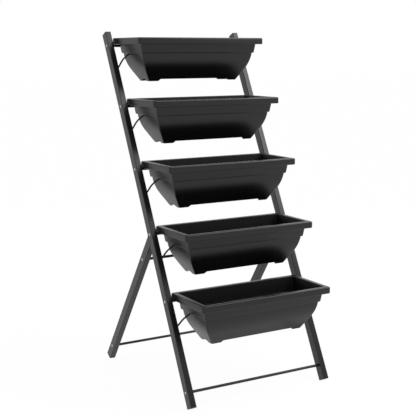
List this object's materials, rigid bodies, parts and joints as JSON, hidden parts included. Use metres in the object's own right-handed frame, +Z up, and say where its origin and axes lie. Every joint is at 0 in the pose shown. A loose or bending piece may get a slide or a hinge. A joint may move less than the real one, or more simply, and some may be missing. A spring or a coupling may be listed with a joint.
{
  "type": "tiered planter stand",
  "caption": "Leaning ladder plant stand of dark steel tube carrying lift-out planter boxes on crossbars and wire props, with a hinged rear frame that folds flat.",
  "frame": {"origin": "on the floor, in the middle of the footprint's box", "axes": "+X to the right seen from the front, +Y to the back, +Z up"},
  "size_m": [0.583, 0.7112, 1.2638],
  "materials": {
    "frame_coat": "satin charcoal powder coat",
    "box_plastic": "fine-grained moulded plastic",
    "plug_plastic": "matte black plastic",
    "zinc_screw": "bright zinc plate",
    "hinge_steel": "black-plated steel",
    "bare_steel": "bare drawn steel"
  },
  "bodies": {
    "front_frame": {"lower_rail_left": "frame_coat", "lower_rail_right": "frame_coat", "upper_rail_left": "frame_coat", "upper_rail_right": "frame_coat", "splice_sleeve_left": "bare_steel", "splice_sleeve_right": "bare_steel", "rail_top_cap_left": "plug_plastic", "rail_top_cap_right": "plug_plastic", "rail_foot_left": "plug_plastic", "rail_foot_right": "plug_plastic", "tier_bar_1": "frame_coat", "tier_bar_2": "frame_coat", "tier_bar_3": "frame_coat", "tier_bar_4": "frame_coat", "tier_bar_5": "frame_coat", "foot_bar": "frame_coat", "front_frame_screws": "zinc_screw", "prop_left_1": "frame_coat", "prop_right_1": "frame_coat", "prop_left_2": "frame_coat", "prop_right_2": "frame_coat", "prop_left_3": "frame_coat", "prop_right_3": "frame_coat", "prop_left_4": "frame_coat", "prop_right_4": "frame_coat", "prop_left_5": "frame_coat", "prop_right_5": "frame_coat", "rail_hinge_leaf_left": "hinge_steel", "rail_hinge_leaf_right": "hinge_steel", "hinge_pin_left": "hinge_steel", "hinge_pin_right": "hinge_steel", "rail_hinge_rivets": "hinge_steel"},
    "rear_frame": {"rear_leg_left": "frame_coat", "rear_leg_right": "frame_coat", "rear_foot_left": "plug_plastic", "rear_foot_right": "plug_plastic", "rear_top_bar": "frame_coat", "rear_bottom_bar": "frame_coat", "rear_frame_screws": "zinc_screw", "leg_hinge_leaf_left": "hinge_steel", "leg_hinge_leaf_right": "hinge_steel", "leg_hinge_rivets": "hinge_steel"},
    "planter_body_1": {"planter_1": "box_plastic"},
    "planter_body_2": {"planter_2": "box_plastic"},
    "planter_body_3": {"planter_3": "box_plastic"},
    "planter_body_4": {"planter_4": "box_plastic"},
    "planter_body_5": {"planter_5": "box_plastic"}
  },
  "joints": [
    {"name": "rear_fold", "type": "hinge", "parent": "front_frame", "child": "rear_frame", "pos_m": [0, -0.02921, 0.50802], "axis": [-1, 0, 0], "range_deg": [0, 60]},
    {"name": "lift_planter_1", "type": "slide", "parent": "front_frame", "child": "planter_body_1", "axis": [0, -0.5736, 0.8191], "range_m": [0, 0.3]},
    {"name": "lift_planter_2", "type": "slide", "parent": "front_frame", "child": "planter_body_2", "axis": [0, -0.5736, 0.8191], "range_m": [0, 0.3]},
    {"name": "lift_planter_3", "type": "slide", "parent": "front_frame", "child": "planter_body_3", "axis": [0, -0.5736, 0.8191], "range_m": [0, 0.3]},
    {"name": "lift_planter_4", "type": "slide", "parent": "front_frame", "child": "planter_body_4", "axis": [0, -0.5736, 0.8191], "range_m": [0, 0.3]},
    {"name": "lift_planter_5", "type": "slide", "parent": "front_frame", "child": "planter_body_5", "axis": [0, -0.5736, 0.8191], "range_m": [0, 0.3]}
  ]
}
